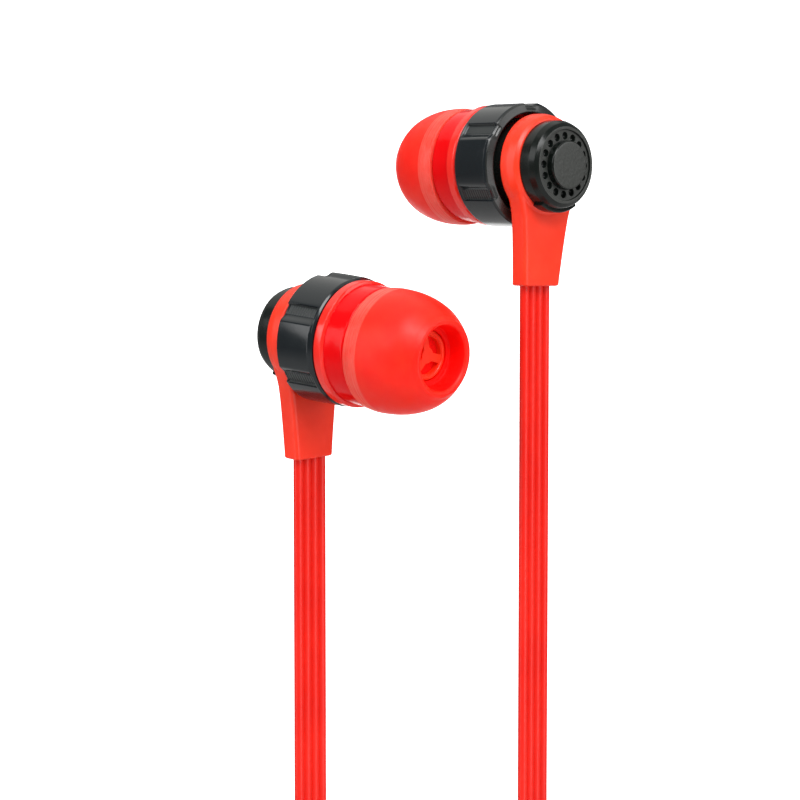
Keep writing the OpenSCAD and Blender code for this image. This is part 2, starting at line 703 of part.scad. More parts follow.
on_right() ear_tip();  // right_ear_tip
on_right() front_housing();  // right_front_housing
on_right() nozzle_filter();  // right_nozzle_filter
on_right() collar();  // right_collar
on_right() rear_housing();  // right_rear_housing
on_right() rear_cap();  // right_rear_cap
on_right() cap_disc();  // right_cap_disc
on_right() driver_frame();  // right_driver_frame
on_right() yoke();  // right_yoke
on_right() magnet();  // right_magnet
on_right() pole_plate();  // right_pole_plate
on_right() voice_coil();  // right_voice_coil
on_right() diaphragm();  // right_diaphragm
on_right() surround();  // right_surround
on_right() driver_cover();  // right_driver_cover
on_right() damper();  // right_damper
on_right() solder_board();  // right_solder_board
on_right() inner_wires();  // right_inner_wires
on_right() cable_crimp();  // right_cable_crimp
on_left() ear_tip();  // left_ear_tip
on_left() front_housing();  // left_front_housing
on_left() nozzle_filter();  // left_nozzle_filter
on_left() collar();  // left_collar
on_left() rear_housing();  // left_rear_housing
on_left() rear_cap();  // left_rear_cap
on_left() cap_disc();  // left_cap_disc
on_left() driver_frame();  // left_driver_frame
on_left() yoke();  // left_yoke
on_left() magnet();  // left_magnet
on_left() pole_plate();  // left_pole_plate
on_left() voice_coil();  // left_voice_coil
on_left() diaphragm();  // left_diaphragm
on_left() surround();  // left_surround
on_left() driver_cover();  // left_driver_cover
on_left() damper();  // left_damper
on_left() solder_board();  // left_solder_board
on_left() inner_wires();  // left_inner_wires
on_left() cable_crimp();  // left_cable_crimp
right_lead();
left_lead();
right_lead_hank();
left_lead_hank();
main_cable_hank();
splitter_front();
splitter_back();
hank_tie();
plug_relief();
plug_grip();
plug_sleeve();
plug_ring();
plug_tip();
plug_insulators();
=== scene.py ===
"""Wired earphones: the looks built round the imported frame.

Lengths are in mm where a piece is shaped.
"""
import math

import bmesh
import bpy
import numpy as np
from mathutils import Matrix, Vector


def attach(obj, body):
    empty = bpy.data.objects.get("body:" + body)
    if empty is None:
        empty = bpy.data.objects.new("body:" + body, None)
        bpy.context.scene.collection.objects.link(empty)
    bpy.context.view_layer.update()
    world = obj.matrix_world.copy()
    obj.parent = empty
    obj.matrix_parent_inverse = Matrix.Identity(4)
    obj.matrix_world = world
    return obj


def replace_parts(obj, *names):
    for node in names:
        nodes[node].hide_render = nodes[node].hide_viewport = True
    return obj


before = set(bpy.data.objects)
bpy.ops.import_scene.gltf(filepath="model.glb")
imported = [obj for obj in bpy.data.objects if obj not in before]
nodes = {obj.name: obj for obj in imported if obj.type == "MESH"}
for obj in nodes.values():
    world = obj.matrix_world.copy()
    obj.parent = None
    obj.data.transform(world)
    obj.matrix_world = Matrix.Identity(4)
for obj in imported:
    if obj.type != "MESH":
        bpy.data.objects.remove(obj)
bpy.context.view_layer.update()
ROOT = "earphones"
MM = 0.001

# ---------------------------------------------------------------- camera
EYE = Vector((-199.0, 187.2, -1.65)) * MM
AIM = Vector((-6.56, 9.16, -24.59)) * MM
cam_data = bpy.data.cameras.new("camera")
cam_data.lens = 112.5
cam_data.sensor_width = 36.0
cam_data.clip_start = 0.01
camera = bpy.data.objects.new("camera", cam_data)
camera.location = EYE
camera.rotation_euler = (AIM - EYE).to_track_quat("-Z", "Y").to_euler()
bpy.context.collection.objects.link(camera)
bpy.context.scene.camera = camera


# ---------------------------------------------------------------- small helpers
def smooth(x):
    """Rises from 0 to 1 while x does, level at both ends."""
    x = np.clip(x, 0.0, 1.0)
    return x * x * (3 - 2 * x)


def rise(x, start, width):
    """Rises smoothly from 0 where x is at start to 1 a width further."""
    return smooth((x - start) / width)


def make(name, verts, faces, mat, body=ROOT, sharp=40.0):
    """A mesh piece from points in metres, smooth but for edges sharper than the angle given."""
    mesh = bpy.data.meshes.new(name)
    mesh.from_pydata([tuple(v) for v in verts], [], [tuple(f) for f in faces])
    mesh.validate()
    mesh.polygons.foreach_set("use_smooth", [True] * len(mesh.polygons))
    mesh.materials.append(mat)
    obj = bpy.data.objects.new(name, mesh)
    bpy.context.collection.objects.link(obj)
    if sharp:
        mesh.set_sharp_from_angle(angle=math.radians(sharp))
    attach(obj, body)
    return obj


def grid_faces(rows, cols, close_rows=False):
    """Quads between closed rings of points, whose point j of ring i has the index i * cols + j."""
    out = []
    for i in range(rows if close_rows else rows - 1):
        a = i * cols
        b = ((i + 1) % rows) * cols
        for j in range(cols):
            k = (j + 1) % cols
            out.append((a + j, a + k, b + k, b + j))
    return out


def capped_faces(rows, cols):
    """Quads of a tube of rings, with its first and last ring closed by a flat face each."""
    last = (rows - 1) * cols
    return grid_faces(rows, cols) + [tuple(range(cols))[::-1], tuple(last + j for j in range(cols))]


def rounded(points, steps=5):
    """A polyline of (s, r) or (s, r, radius) points, with its corners rounded to the radius given."""
    out = []
    n = len(points)
    for i, p in enumerate(points):
        here = np.array(p[:2], float)
        rad = p[2] if len(p) > 2 else 0.0
        if rad <= 0 or i in (0, n - 1):
            out.append(here)
            continue
        before = np.array(points[i - 1][:2], float) - here
        after = np.array(points[i + 1][:2], float) - here
        la, lb = np.linalg.norm(before), np.linalg.norm(after)
        before, after = before / la, after / lb
        half = math.acos(float(np.clip(before @ after, -1, 1))) / 2
        most = 0.49 * min(la, lb)
        back = min(rad / math.tan(half), most)
        a, b = here + before * back, here + after * back
        for t in np.linspace(0, 1, steps):
            out.append((1 - t) ** 2 * a + 2 * t * (1 - t) * here + t * t * b)
    return np.array(out)


def through(points, count, per_span=24):
    """A smooth curve through points (centripetal Catmull-Rom), as count points evenly spaced."""
    p = np.array(points, float)
    p = np.vstack([2 * p[0] - p[1], p, 2 * p[-1] - p[-2]])
    out = []
    for i in range(1, len(p) - 2):
        k = [0.0]
        for a, b in ((i - 1, i), (i, i + 1), (i + 1, i + 2)):
            k.append(k[-1] + max(np.linalg.norm(p[b] - p[a]), 1e-9) ** 0.5)
        for t in np.linspace(k[1], k[2], per_span, endpoint=False):
            a1 = (k[1] - t) / (k[1] - k[0]) * p[i - 1] + (t - k[0]) / (k[1] - k[0]) * p[i]
            a2 = (k[2] - t) / (k[2] - k[1]) * p[i] + (t - k[1]) / (k[2] - k[1]) * p[i + 1]
            a3 = (k[3] - t) / (k[3] - k[2]) * p[i + 1] + (t - k[2]) / (k[3] - k[2]) * p[i + 2]
            b1 = (k[2] - t) / (k[2] - k[0]) * a1 + (t - k[0]) / (k[2] - k[0]) * a2
            b2 = (k[3] - t) / (k[3] - k[1]) * a2 + (t - k[1]) / (k[3] - k[1]) * a3
            out.append((k[2] - t) / (k[2] - k[1]) * b1 + (t - k[1]) / (k[2] - k[1]) * b2)
    out.append(p[-2])
    out = np.array(out)
    run = np.concatenate([[0], np.cumsum(np.linalg.norm(np.diff(out, axis=0), axis=1))])
    at = np.linspace(0, run[-1], count)
    return np.stack([np.interp(at, run, out[:, k]) for k in range(out.shape[1])], axis=1)


def subdivided(profile, parts):
    """The same polyline, with each edge cut into as many parts as parts(a, b) says of its ends."""
    out = [profile[0]]
    for a, b in zip(profile, profile[1:]):
        n = parts(a, b)
        out += [a + (b - a) * k / n for k in range(1, n + 1)]
    return np.array(out)


def cuts(length, step):
    """How many parts of about one step a length makes."""
    return max(1, int(length / step))


# ---------------------------------------------------------------- where each earpiece hangs
# An earpiece's own axes: X runs along the barrel from the cap's face to the tip, as the station s.
TIP_FRONT = 21.7  # the station of the right tip's opening, which is the frame's origin


def turn(roll, tilt, yaw):
    """Turns about X, then Y, then Z, by angles in degrees."""
    return (Matrix.Rotation(math.radians(yaw), 4, "Z") @ Matrix.Rotation(math.radians(tilt), 4, "Y")
            @ Matrix.Rotation(math.radians(roll), 4, "X"))


# How each earpiece's axes stand in the frame
PLACE = {
    "right": Matrix.Translation((-TIP_FRONT, 0, 0)) @ turn(1.5, 0, 0),
    "left": (Matrix.Translation((-4.2, 22.9, -16.8)) @ turn(1.7, 4.9, 184.9)
             @ Matrix.Diagonal((1, -1, 1, 1))),
}


def set_on(side, points):
    """Points of the earpiece's own axes, in mm, to metres in the shared frame."""
    m = np.array(PLACE[side])
    p = np.asarray(points, float)
    return (p @ m[:3, :3].T + m[:3, 3]) * MM


def flip(side, faces):
    """The left earpiece is a mirror image, so its faces are turned over."""
    return [f[::-1] for f in faces] if side == "left" else faces


def ring_points(profile, steps, r_of=None):
    """Turns (s, r) pairs about the barrel axis. Angle 0 is up, 90 degrees is +Y."""
    a = np.linspace(0, 2 * math.pi, steps, endpoint=False)
    s = np.repeat(profile[:, 0][:, None], steps, 1)
    r = np.repeat(profile[:, 1][:, None], steps, 1)
    if r_of is not None:
        s, r = r_of(s, r, a[None, :])
    return np.stack([s, r * np.sin(a), r * np.cos(a)], axis=-1).reshape(-1, 3)


def lathe(name, side, profile, mat, body=ROOT, steps=160, loop=True, sharp=40.0, r_of=None):
    """A turned piece. loop joins the profile's last point to its first; else its ends are closed flat."""
    pts = ring_points(np.asarray(profile), steps, r_of)
    faces = grid_faces(len(profile), steps, close_rows=True) if loop else capped_faces(len(profile), steps)
    return make(f"{side}_{name}", set_on(side, pts), flip(side, faces), mat, body, sharp)


def second_finish_or_painted_light(obj, side, mat, s0, s1, r_min, r_max=math.inf):
    """Gives another material to the faces between two stations and two radii: a second finish, or a colour
    that paints light or shade.
    """
    obj.data.materials.append(mat)
    back = PLACE[side].inverted()
    for face in obj.data.polygons:
        c = back @ (face.center / MM)
        if s0 < c.x < s1 and r_min < math.hypot(c.y, c.z) < r_max:
            face.material_index = len(obj.data.materials) - 1


# ---------------------------------------------------------------- materials
NOISE_ROUGHNESS = 0.6
VARY_FROM, VARY_TO = 0.3, 0.7  # the noise values between which a value or a colour goes over
TINT_FROM, TINT_TO = 0.35, 0.65


def shader(mat):
    """The material's own shader node."""
    return mat.node_tree.nodes["Principled BSDF"]


def material(name, color, rough=0.4, **more):
    """A principled material. Further inputs are named with _ for each space."""
    mat = bpy.data.materials.new(name)
    mat.use_nodes = True
    bsdf = shader(mat)
    bsdf.inputs["Base Color"].default_value = (*color, 1)
    bsdf.inputs["Roughness"].default_value = rough
    for key, value in more.items():
        bsdf.inputs[key.replace("_", " ")].default_value = value
    return mat


def noise(mat, scale, detail):
    """Noise in the piece's own coordinates: scale is in waves to the metre."""
    n = mat.node_tree
    coord = n.nodes.new("ShaderNodeTexCoord")
    tex = n.nodes.new("ShaderNodeTexNoise")
    tex.inputs["Scale"].default_value = scale
    tex.inputs["Detail"].default_value = detail
    tex.inputs["Roughness"].default_value = NOISE_ROUGHNESS
    n.links.new(coord.outputs["Object"], tex.inputs["Vector"])
    return tex


def bump(mat, scale, depth, detail=3.0):
    """A fine relief: depth is its height in metres."""
    n = mat.node_tree
    tex = noise(mat, scale, detail)
    node = n.nodes.new("ShaderNodeBump")
    node.inputs["Strength"].default_value = 1.0
    node.inputs["Distance"].default_value = depth
    n.links.new(tex.outputs["Fac"], node.inputs["Height"])
    n.links.new(node.outputs["Normal"], shader(mat).inputs["Normal"])


def vary(mat, socket, scale, low, high, detail=4.0):
    """Lets a value wander between two limits over the surface."""
    n = mat.node_tree
    tex = noise(mat, scale, detail)
    span = n.nodes.new("ShaderNodeMapRange")
    span.inputs["From Min"].default_value = VARY_FROM
    span.inputs["From Max"].default_value = VARY_TO
    span.inputs["To Min"].default_value = low
    span.inputs["To Max"].default_value = high
    n.links.new(tex.outputs["Fac"], span.inputs["Value"])
    n.links.new(span.outputs["Result"], shader(mat).inputs[socket])


def tint(mat, scale, low, high, detail=4.0):
    """Lets the colour wander between two colours over the surface."""
    n = mat.node_tree
    tex = noise(mat, scale, detail)
    ramp = n.nodes.new("ShaderNodeValToRGB")
    ramp.color_ramp.elements[0].position = TINT_FROM
    ramp.color_ramp.elements[1].position = TINT_TO
    ramp.color_ramp.elements[0].color = (*low, 1)
    ramp.color_ramp.elements[1].color = (*high, 1)
    n.links.new(tex.outputs["Fac"], ramp.inputs["Fac"])
    n.links.new(ramp.outputs["Color"], shader(mat).inputs["Base Color"])


SILICONE = material("tip_silicone", (0.95, 0.013, 0.003), 0.42, Subsurface_Weight=0.7,
                    Subsurface_Scale=0.0012, Subsurface_Radius=(1.0, 0.14, 0.07), Specular_IOR_Level=0.36,
                    IOR=1.41)
tint(SILICONE, 260.0, (0.93, 0.009, 0.002), (0.97, 0.018, 0.005))
vary(SILICONE, "Roughness", 900.0, 0.38, 0.5)
bump(SILICONE, 5200.0, 6e-6)

# Painted shade: the same silicone, made a deeper and more saturated red inside the bore, standing in for the
# shade and the red light bounced around in the mouth.
SILICONE_BORE_PAINTED_SHADE = material("tip_bore_painted_shade_silicone", (0.96, 0.003, 0.002), 0.5, Subsurface_Weight=0.7,
                         Subsurface_Scale=0.0012, Subsurface_Radius=(1.0, 0.08, 0.06), IOR=1.41,
                         Specular_IOR_Level=0.2)
tint(SILICONE_BORE_PAINTED_SHADE, 260.0, (0.94, 0.002, 0.001), (0.97, 0.005, 0.003))
bump(SILICONE_BORE_PAINTED_SHADE, 5200.0, 6e-6)

# Painted light: the skirt's rim band is made lighter and pinker, standing in for light shining through the
# thin silicone.
SILICONE_RIM_PAINTED_LIGHT = material("tip_rim_painted_light_silicone", (0.97, 0.055, 0.04), 0.4, Subsurface_Weight=0.8,
                        Subsurface_Scale=0.0014, Subsurface_Radius=(1.0, 0.2, 0.14), IOR=1.41)
tint(SILICONE_RIM_PAINTED_LIGHT, 420.0, (0.95, 0.05, 0.03), (0.98, 0.085, 0.06))
bump(SILICONE_RIM_PAINTED_LIGHT, 4200.0, 6e-6)

CLEAR_RED = material("clear_red_plastic", (0.72, 0.0015, 0.003), 0.12, Subsurface_Weight=0.3,
                     Subsurface_Scale=0.0015, Subsurface_Radius=(1.0, 0.08, 0.1), IOR=1.5,
                     Specular_IOR_Level=0.12)
tint(CLEAR_RED, 240.0, (0.70, 0.001, 0.0025), (0.74, 0.002, 0.004))
vary(CLEAR_RED, "Roughness", 300.0, 0.1, 0.18)
bump(CLEAR_RED, 700.0, 2e-6)

LIP_RED = material("gloss_red_plastic", (0.82, 0.018, 0.010), 0.16, Subsurface_Weight=0.3,
                   Subsurface_Scale=0.0012, Subsurface_Radius=(1.0, 0.12, 0.08), IOR=1.5)
vary(LIP_RED, "Roughness", 300.0, 0.12, 0.22)
bump(LIP_RED, 900.0, 2e-6)

RED = material("red_plastic", (0.92, 0.034, 0.011), 0.36, Specular_IOR_Level=0.42, Subsurface_Weight=0.25,
               Subsurface_Scale=0.0008, Subsurface_Radius=(1.0, 0.2, 0.1), IOR=1.5)
tint(RED, 180.0, (0.9, 0.028, 0.006), (0.96, 0.04, 0.01))
vary(RED, "Roughness", 500.0, 0.32, 0.42)
bump(RED, 3600.0, 3e-6)

BLACK_GLOSS = material("gloss_black_plastic", (0.006, 0.009, 0.011), 0.15, IOR=1.5,
                       Specular_IOR_Level=0.42)
vary(BLACK_GLOSS, "Roughness", 350.0, 0.11, 0.19)
bump(BLACK_GLOSS, 1500.0, 2e-6)

BLACK_FINE = material("fine_black_plastic", (0.02, 0.024, 0.024), 0.4, IOR=1.5)
bump(BLACK_FINE, 4600.0, 4e-5, 2.0)

BLACK_CAP = material("cap_black_plastic", (0.004, 0.006, 0.005), 0.22, IOR=1.5, Specular_IOR_Level=0.27)
vary(BLACK_CAP, "Roughness", 500.0, 0.18, 0.26)
bump(BLACK_CAP, 3200.0, 6e-6)

BLACK_SATIN = material("satin_black_plastic", (0.009, 0.011, 0.010), 0.27, IOR=1.5)
vary(BLACK_SATIN, "Roughness", 400.0, 0.22, 0.32)
bump(BLACK_SATIN, 2600.0, 3e-6)

BLACK_GRAIN = material("grained_black_plastic", (0.024, 0.026, 0.023), 0.42, IOR=1.5)
bump(BLACK_GRAIN, 3400.0, 6e-5, 2.0)

CABLE = material("cable_red", (0.76, 0.010, 0.004), 0.34, Specular_IOR_Level=0.4, Subsurface_Weight=0.2,
                 Subsurface_Scale=0.0006, Subsurface_Radius=(1.0, 0.15, 0.08), IOR=1.48)
tint(CABLE, 140.0, (0.71, 0.008, 0.002), (0.79, 0.013, 0.004))
vary(CABLE, "Roughness", 420.0, 0.3, 0.4)
bump(CABLE, 2800.0, 4e-6)

RUBBER = material("black_rubber", (0.02, 0.022, 0.022), 0.55, IOR=1.45)
bump(RUBBER, 3000.0, 1e-5)

STRAP = material("black_strap", (0.014, 0.014, 0.016), 0.8, Sheen_Weight=0.25)
tint(STRAP, 1500.0, (0.011, 0.011, 0.013), (0.02, 0.02, 0.022))
bump(STRAP, 3400.0, 4e-5)

GOLD = material("contact_gold", (0.90, 0.66, 0.26), 0.14, Metallic=1.0)
vary(GOLD, "Roughness", 600.0, 0.1, 0.22)
bump(GOLD, 1800.0, 2e-6)

STEEL = material("bright_steel", (0.62, 0.62, 0.63), 0.28, Metallic=1.0)
vary(STEEL, "Roughness", 900.0, 0.2, 0.4)

MESH_METAL = material("metal_mesh", (0.30, 0.30, 0.31), 0.35, Metallic=1.0)
bump(MESH_METAL, 6000.0, 4e-5, 1.0)

COPPER = material("copper_wire", (0.80, 0.40, 0.22), 0.25, Metallic=1.0)
bump(COPPER, 5000.0, 1e-5)

FILM = material("film", (0.80, 0.74, 0.58), 0.25, Coat_Weight=0.3)
bump(FILM, 1500.0, 4e-6)

FILTER = material("red_filter_cloth", (0.9, 0.002, 0.002), 0.8, Specular_IOR_Level=0.1)
tint(FILTER, 5000.0, (0.8, 0.001, 0.001), (0.95, 0.004, 0.003), 1.0)
bump(FILTER, 5000.0, 4e-5, 1.0)

PAPER = material("damping_paper", (0.72, 0.70, 0.62), 0.8)
bump(PAPER, 3500.0, 1e-5)

BOARD = material("board_green", (0.03, 0.16, 0.07), 0.35, Coat_Weight=0.4)
vary(BOARD, "Roughness", 800.0, 0.3, 0.45)

# ---------------------------------------------------------------- cable routes, as part.scad has them
CABLE_W, CABLE_T = 4.0, 1.0
RIGHT_LEAD = [
    (-17.6, 0.3, -12.1), (-17.6, 0.3, -16), (-17.6, 0.3, -24), (-17.6, 0.3, -34),
    (-17.6, 0.3, -44), (-17.6, 0.3, -54), (-17.6, 0.3, -64), (-17.6, 0.3, -70),
    (-17.8, 0.6, -76), (-18.4, 1.6, -82), (-19.4, 3, -88), (-20.7, 4.7, -94),
    (-21.8, 6.1, -100), (-22.4, 6.7, -104), (-22.5, 6.8, -108)]
LEFT_LEAD = [
    (-7.2, 22.3, -29.2), (-7.2, 22.3, -33), (-7.2, 22.3, -40), (-7.2, 22.3, -48),
    (-7.2, 22.3, -56), (-7.2, 22.3, -64), (-7.3, 22.3, -70), (-8, 22, -75),
    (-9.8, 21.2, -80), (-12.6, 20, -85), (-15.9, 18.4, -90), (-19.2, 17, -95),
    (-22.2, 16.2, -100), (-24.6, 15.9, -104), (-25.2, 15.8, -108)]
# The hank: its centre, the top of its straight runs, their length, and its layers from the front
HANK_X, HANK_TOP, HANK_RUN = -8.0, -108.0, 62.0
LOW = HANK_TOP - HANK_RUN
LAYER_Y = (6.8, 11.3, 15.8)  # the right lead, the main cable, the left lead
LEAD_R = (14.5, 17.2)  # the right and the left lead's loop
LEAD_TUCK = 0.5  # both leads rise this far inside the right one's loop
MAIN_R, PITCH, TURNS = 13.5, 1.75, 4  # the main cable's first loop, and what each turn adds
LEAVES = 0.375  # the main cable leaves its loops this part of a turn before they are full
WAIST = (6.0, 9.0)  # how far the left and the right runs are drawn in under the tie
# The splitter lies left of the centre, and the leads enter it in front of and behind the main layer
INNER_X, SPLIT_Y, SPLIT_LEN = 8.5, 2.25, 14.0
SPLIT_TOP = HANK_TOP - CABLE_W
PLUG_X = HANK_X - 23.0
PER_TURN, FOLD_STEPS = 24, 8  # points of a route in a turn and in a fold


def draw(run, f):
    """How far the left (0) or right (1) run is drawn in, at a share f of its length."""
    return WAIST[run] * math.sin(math.pi * f) ** 2


def loop_point(u, r, y):
    """A point of a long loop, u turns from the top of its left run, going down."""
    v = u - math.floor(u)
    if v < 1 / 6:
        return (HANK_X - r + draw(0, 6 * v), y, HANK_TOP - HANK_RUN * 6 * v)
    if v < 1 / 2:
        a = 3 * math.pi * (v - 1 / 6)
        return (HANK_X - r * math.cos(a), y, LOW - r * math.sin(a))
    if v < 2 / 3:
        f = 6 * v - 3
        return (HANK_X + r - draw(1, f), y, LOW + HANK_RUN * f)
    a = 3 * math.pi * (v - 2 / 3)
    return (HANK_X + r * math.cos(a), y, HANK_TOP + r * math.sin(a))


def fold(x0, x1, z, y0, y1, side):
    """Half a turn from x0 to x1, under the height z where side is 1 and over it where it is -1."""
    out = []
    for i in range(FOLD_STEPS + 1):
        k = i / FOLD_STEPS
        mid, h = (x0 + x1) / 2, (x0 - x1) / 2
        out.append((mid + h * math.cos(math.pi * k), y0 + (y1 - y0) * k * k * (3 - 2 * k),
                    z - side * abs(h) * math.sin(math.pi * k)))
    return out


def lead_hank(r, y, y_in):
    """A lead's part in the hank: down, round and up in its own layer, then over into the splitter."""
    up = LEAD_R[0] - LEAD_TUCK
    loop = []
    for i in range(1, 2 * PER_TURN // 3):
        k = max(0.0, min(1.0, (i - PER_TURN / 6) / (PER_TURN / 3)))
        loop.append(loop_point((i - 1e-6) / PER_TURN, r + (up - r) * k, y))
    over = fold(HANK_X + up, HANK_X - INNER_X, HANK_TOP, y, y_in, -1)
    return loop + over + [(HANK_X - INNER_X, y_in, SPLIT_TOP)]


def main_cable():
    """The main cable: out of the splitter, outwards round its own layer, then over into the plug."""
    y = LAYER_Y[1]
    out = SPLIT_TOP - SPLIT_LEN
    pts = [(HANK_X - INNER_X, y, out), (HANK_X - INNER_X, y, out - 2)]
    pts += [(HANK_X - INNER_X + draw(0, f), y, HANK_TOP - HANK_RUN * f) for f in (0.4, 0.5, 0.6, 0.75, 0.9)]
    pts += fold(HANK_X - INNER_X, HANK_X + MAIN_R, LOW, y, y, 1)
    last = TURNS - LEAVES
    for i in range(PER_TURN // 2 + 1, int(PER_TURN * last) + 1):
        pts.append(loop_point(i / PER_TURN, MAIN_R + PITCH * (i / PER_TURN - 0.5), y))
    end_r = MAIN_R + PITCH * (last - 0.5)
    pts += fold(HANK_X + end_r, PLUG_X, HANK_TOP, y, y, -1)
    return pts + [(PLUG_X, y, SPLIT_TOP)]


def ribbed_section(ribs=4, per=7, bridge=0.93):
    """The flat cable's outline: round cores side by side, joined at a share bridge of their half pitch."""
    r = CABLE_T / 2
    pitch = (CABLE_W - CABLE_T) / (ribs - 1)
    inner = math.pi / 2 - math.acos(pitch / 2 / r * bridge)
    out = []
    for side in (1, -1):
        for i in range(ribs):
            c = side * (-(ribs - 1) / 2 + i) * pitch
            start = -math.pi / 2 if i == 0 else -inner
            end = math.pi / 2 if i == ribs - 1 else inner
            for t in np.linspace(start, end, per):
                out.append((c + side * r * math.sin(t), side * r * math.cos(t)))
        out.pop()
    return np.array(out)


def ribbed_cord(name, points, spacing):
    """Sweeps the ribbed section along a route, its width as near Y as the route lets it.

    Returns the piece, and its route and length in metres.
    """
    length = sum(math.dist(a, b) for a, b in zip(points, points[1:]))
    path = through(points, int(length / spacing))
    t = np.gradient(path, axis=0)
    t /= np.linalg.norm(t, axis=1)[:, None]
    thin = np.cross(np.array([0, 1.0, 0]), t)
    thin /= np.linalg.norm(thin, axis=1)[:, None]
    wide = np.cross(t, thin)
    sec = ribbed_section()
    pts = (path[:, None, :] + sec[None, :, 0, None] * wide[:, None, :]
           + sec[None, :, 1, None] * thin[:, None, :])
    faces = [f[::-1] for f in capped_faces(len(path), len(sec))]
    obj = make(name, pts.reshape(-1, 3) * MM, faces, CABLE, sharp=55)
    return obj, [tuple(p * MM) for p in path], float(np.linalg.norm(np.diff(path, axis=0), axis=1).sum()) * MM


LEAD_SPACING, MAIN_SPACING = 0.9, 1.1
right_route = RIGHT_LEAD + lead_hank(LEAD_R[0], LAYER_Y[0], LAYER_Y[1] - SPLIT_Y)
left_route = LEFT_LEAD + lead_hank(LEAD_R[1], LAYER_Y[2], LAYER_Y[1] + SPLIT_Y)
right_cord, right_path, right_len = ribbed_cord("right_lead_cord", right_route, LEAD_SPACING)
left_cord, left_path, left_len = ribbed_cord("left_lead_cord", left_route, LEAD_SPACING)
main_cord, main_path, main_len = ribbed_cord("main_cord", main_cable(), MAIN_SPACING)
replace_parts(right_cord, "right_lead", "right_lead_hank")
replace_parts(left_cord, "left_lead", "left_lead_hank")
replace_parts(main_cord, "main_cable_hank")


# ---------------------------------------------------------------- splitter, tie, plug
SPLIT_HALF_T, SPLIT_BEVEL = 1.6, 0.45
SPLIT_OUTLINE = ((-3.2, 0), (3.2, 0), (5.2, 5), (5.2, 14), (-5.2, 14), (-5.2, 5))


def splitter(side, name):
    """One half of the splitter's shell: its outline pushed out in X and rounded at every edge."""
    x = HANK_X - INNER_X
    y, z = LAYER_Y[1], SPLIT_TOP - SPLIT_LEN
    n = len(SPLIT_OUTLINE)
    pts = [(at, y + a, z + b) for at in sorted((x, x + side * SPLIT_HALF_T)) for a, b in SPLIT_OUTLINE]
    faces = [tuple(range(n))[::-1], tuple(range(n, 2 * n))]
    faces += [(j, (j + 1) % n, n + (j + 1) % n, n + j) for j in range(n)]
    obj = make(name, np.array(pts) * MM, faces, BLACK_GLOSS, sharp=None)
    mod = obj.modifiers.new("edges", "BEVEL")
    mod.width = SPLIT_BEVEL * MM
    mod.segments = 4
    mod.limit_method = "ANGLE"
    return obj


split_front = splitter(1, "splitter_front_shell")
split_back = splitter(-1, "splitter_back_shell")
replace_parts(split_front, "splitter_front")
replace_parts(split_back, "splitter_back")

TIE_AIR, TIE_WALL = 0.3, 0.4
TIE_LEFT, TIE_RIGHT = 1.45, 0.95  # the outer runs pass under the tie these turns before the loops' end
STRAP_W, STRAP_T, STRAP_EDGE, HEM_AT, STRAP_CORNER, STRAP_STEPS = 6.0, 0.36, 0.14, 2.55, 2.2, 1200
LAID_OVER, LAID_FROM, LAID_TO = 0.3, 3.0, 22.0
WEAVE_DEEP, WEAVE_PITCH = 0.035, 0.5


def tie_box():
    """The strap's outer sides (x, x, y, y): round the hank's waist, with room for the runs' splay."""
    clear = CABLE_T / 2 + TIE_AIR
    spread = [w * STRAP_W / HANK_RUN for w in WAIST]
    x0 = HANK_X - MAIN_R - PITCH * (TURNS - TIE_LEFT) + WAIST[0] - spread[0] - clear - TIE_WALL
    x1 = HANK_X + MAIN_R + PITCH * (TURNS - TIE_RIGHT) - WAIST[1] + spread[1] + clear + TIE_WALL
    side = CABLE_W / 2
    return x0, x1, LAYER_Y[0] - side - (TIE_AIR + TIE_WALL), LAYER_Y[2] + side + (TIE_AIR + TIE_WALL)


def tie():
    """A woven hook-and-loop strap round the hank, its end laid over and fixed."""
    x0, x1, y0, y1 = tie_box()
    mid_z = HANK_TOP - HANK_RUN / 2
    rad, path = STRAP_CORNER, []
    for cx, cy, a0 in ((x1 - rad, y1 - rad, 0), (x0 + rad, y1 - rad, 90), (x0 + rad, y0 + rad, 180),
                       (x1 - rad, y0 + rad, 270)):
        for a in map(math.radians, np.linspace(a0, a0 + 90, 9)):
            path.append((cx + rad * math.cos(a), cy + rad * math.sin(a), math.cos(a), math.sin(a)))
    loop = np.array(path + path[:1])
    run = np.concatenate([[0], np.cumsum(np.hypot(*np.diff(loop[:, :2], axis=0).T))])
    along = np.linspace(0, run[-1], STRAP_STEPS, endpoint=False)
    path = np.array([[np.interp(u, run, loop[:, k]) for k in range(4)] for u in along])
    laid_over = LAID_OVER * rise(along, LAID_FROM, 0.7) * (1 - rise(along, LAID_TO, 0.4))
    ribs = WEAVE_DEEP * np.sin(along * 2 * math.pi / WEAVE_PITCH)
    h, t, hem, rad = STRAP_W / 2, STRAP_T, HEM_AT, STRAP_EDGE
    sec = rounded([(-h, -t / 2), (-h, 0, rad), (-hem - 0.1, 0), (-hem, 0), (hem, 0), (hem + 0.1, 0),
                   (h, 0, rad), (h, -t, rad), (-h, -t, rad), (-h, -t / 2)], 4)[:-1]
    pts = []
    for (px, py, nx, ny), more, rib in zip(path, laid_over, ribs):
        for z, o in sec:
            out = o + (more if o > -t / 2 else 0) + (rib if abs(z) <= hem and o > -t / 2 else 0)
            pts.append((px + nx * out, py + ny * out, mid_z + z))
    faces = grid_faces(len(path), len(sec), close_rows=True)
    return make("strap_band", np.array(pts) * MM, faces, STRAP, sharp=50)


strap = tie()
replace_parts(strap, "hank_tie")


def plug_part(name, profile, mat, steps=96):
    """A piece turned about the plug's axis from (height, radius) pairs."""
    a = np.linspace(0, 2 * math.pi, steps, endpoint=False)
    pr = np.asarray(profile)
    pts = np.stack([PLUG_X + pr[:, 1][:, None] * np.cos(a), LAYER_Y[1] + pr[:, 1][:, None] * np.sin(a),
                    SPLIT_TOP + np.repeat(pr[:, 0][:, None], steps, 1)], axis=-1).reshape(-1, 3)
    return make(name, pts * MM, capped_faces(len(pr), steps), mat)


